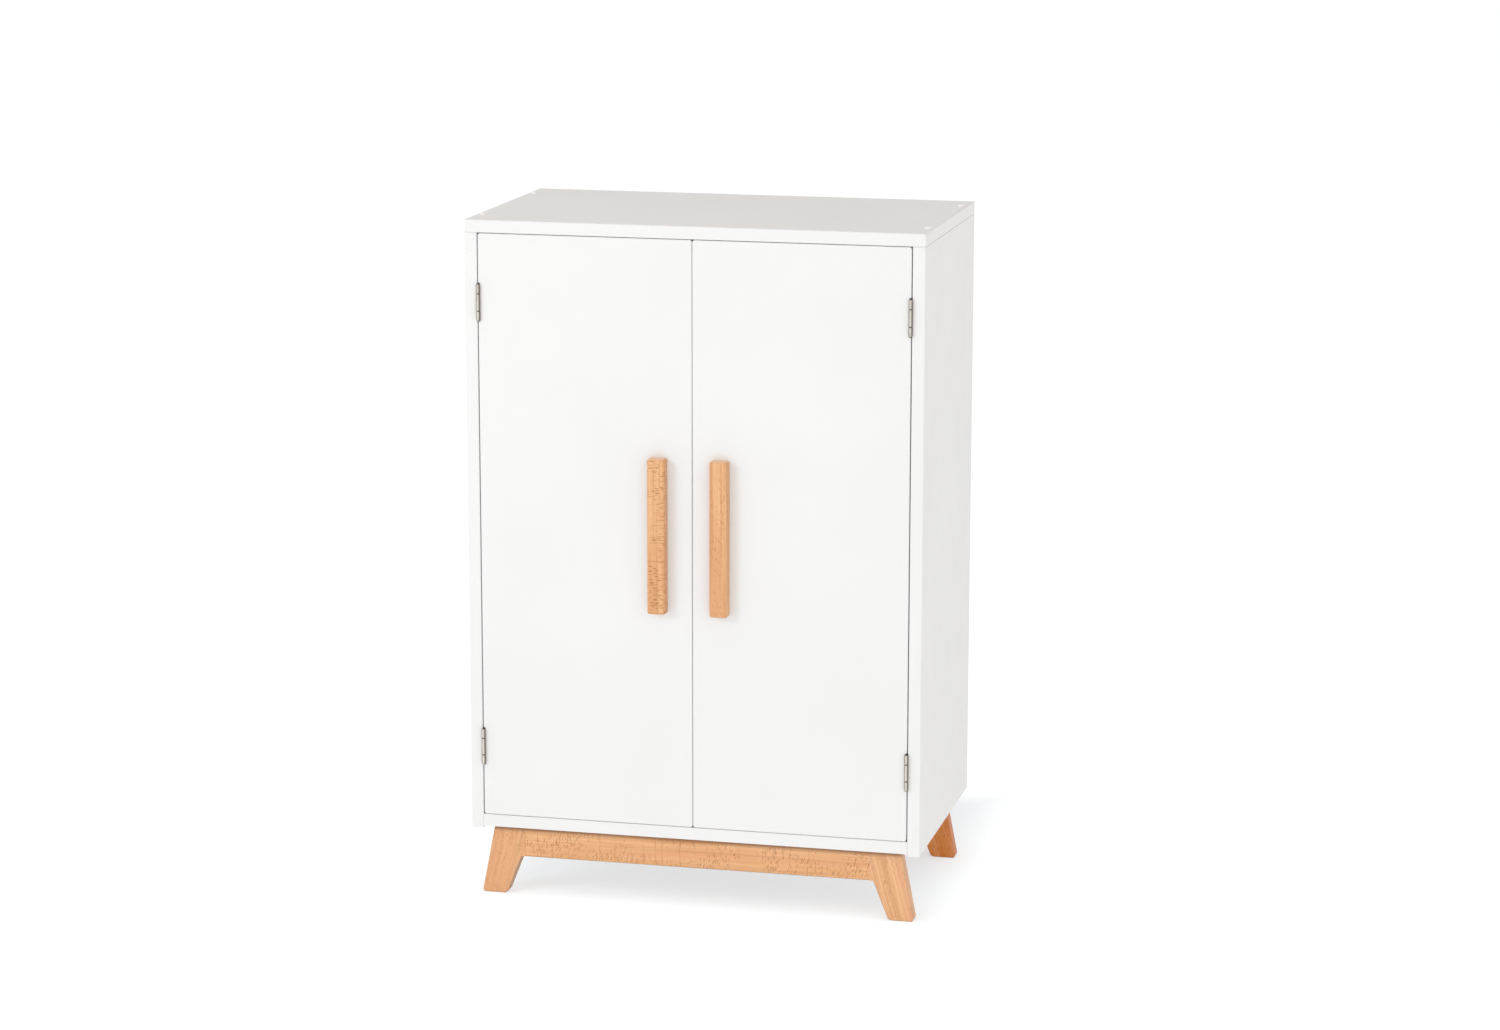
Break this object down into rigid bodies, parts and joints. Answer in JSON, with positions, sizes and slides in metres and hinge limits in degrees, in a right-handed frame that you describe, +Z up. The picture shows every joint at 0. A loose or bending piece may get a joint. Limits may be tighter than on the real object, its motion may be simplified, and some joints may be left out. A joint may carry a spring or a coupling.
{
  "type": "doll's wardrobe",
  "caption": "White doll's wardrobe with two inset hinged doors, beech bar handles, a shelf and clothes rail, on splayed tapered beech legs.",
  "frame": {"origin": "on the floor, under the middle of the overall box", "axes": "+Z up, the doors face -Y, +X is to the right of a viewer who faces the doors"},
  "size_m": [0.328, 0.196, 0.4909],
  "materials": {
    "white_lacquered_board": "white satin lacquer on fibreboard",
    "white_hardboard": "white printed hardboard",
    "oiled_beech": "clear satin lacquer on beech",
    "hinge_nickel": "dull nickel plating",
    "white_plastic": "moulded",
    "magnet_steel": "ground",
    "zinc_steel": "zinc plated"
  },
  "bodies": {
    "carcass": {"back_panel": "white_hardboard", "back_panel_pins": "zinc_steel", "bottom_panel": "white_lacquered_board", "bottom_panel_dowels": "oiled_beech", "catch_housing": "white_plastic", "catch_magnets": "magnet_steel", "catch_screws": "zinc_steel", "clothes_rail": "oiled_beech", "front_apron": "oiled_beech", "front_frame_dowels": "oiled_beech", "front_left_leg": "oiled_beech", "front_right_leg": "oiled_beech", "left_frame_hinge_screws": "hinge_nickel", "left_rail_socket": "white_plastic", "left_side_panel": "white_lacquered_board", "leg_frame_screws": "zinc_steel", "lower_left_hinge_frame_leaf": "hinge_nickel", "lower_left_hinge_pin": "hinge_nickel", "lower_right_hinge_frame_leaf": "hinge_nickel", "lower_right_hinge_pin": "hinge_nickel", "rail_socket_screws": "zinc_steel", "rear_apron": "oiled_beech", "rear_frame_dowels": "oiled_beech", "rear_left_leg": "oiled_beech", "rear_right_leg": "oiled_beech", "right_frame_hinge_screws": "hinge_nickel", "right_rail_socket": "white_plastic", "right_side_panel": "white_lacquered_board", "shelf": "white_lacquered_board", "shelf_pins": "oiled_beech", "top_panel": "white_lacquered_board", "top_panel_screws": "zinc_steel", "top_screw_caps": "white_plastic", "upper_left_hinge_frame_leaf": "hinge_nickel", "upper_left_hinge_pin": "hinge_nickel", "upper_right_hinge_frame_leaf": "hinge_nickel", "upper_right_hinge_pin": "hinge_nickel"},
    "left_door": {"left_door": "white_lacquered_board", "left_door_hinge_screws": "hinge_nickel", "left_handle": "oiled_beech", "left_handle_screws": "zinc_steel", "left_strike_plate": "zinc_steel", "left_strike_screw": "zinc_steel", "lower_left_hinge_door_leaf": "hinge_nickel", "upper_left_hinge_door_leaf": "hinge_nickel"},
    "right_door": {"lower_right_hinge_door_leaf": "hinge_nickel", "right_door": "white_lacquered_board", "right_door_hinge_screws": "hinge_nickel", "right_handle": "oiled_beech", "right_handle_screws": "zinc_steel", "right_strike_plate": "zinc_steel", "right_strike_screw": "zinc_steel", "upper_right_hinge_door_leaf": "hinge_nickel"}
  },
  "joints": [
    {"name": "left_door_hinge", "type": "hinge", "parent": "carcass", "child": "left_door", "pos_m": [-0.1541, -0.091, 0.271], "axis": [0, 0, -1], "range_deg": [0, 180]},
    {"name": "right_door_hinge", "type": "hinge", "parent": "carcass", "child": "right_door", "pos_m": [0.1541, -0.091, 0.271], "axis": [0, 0, 1], "range_deg": [0, 180]}
  ]
}
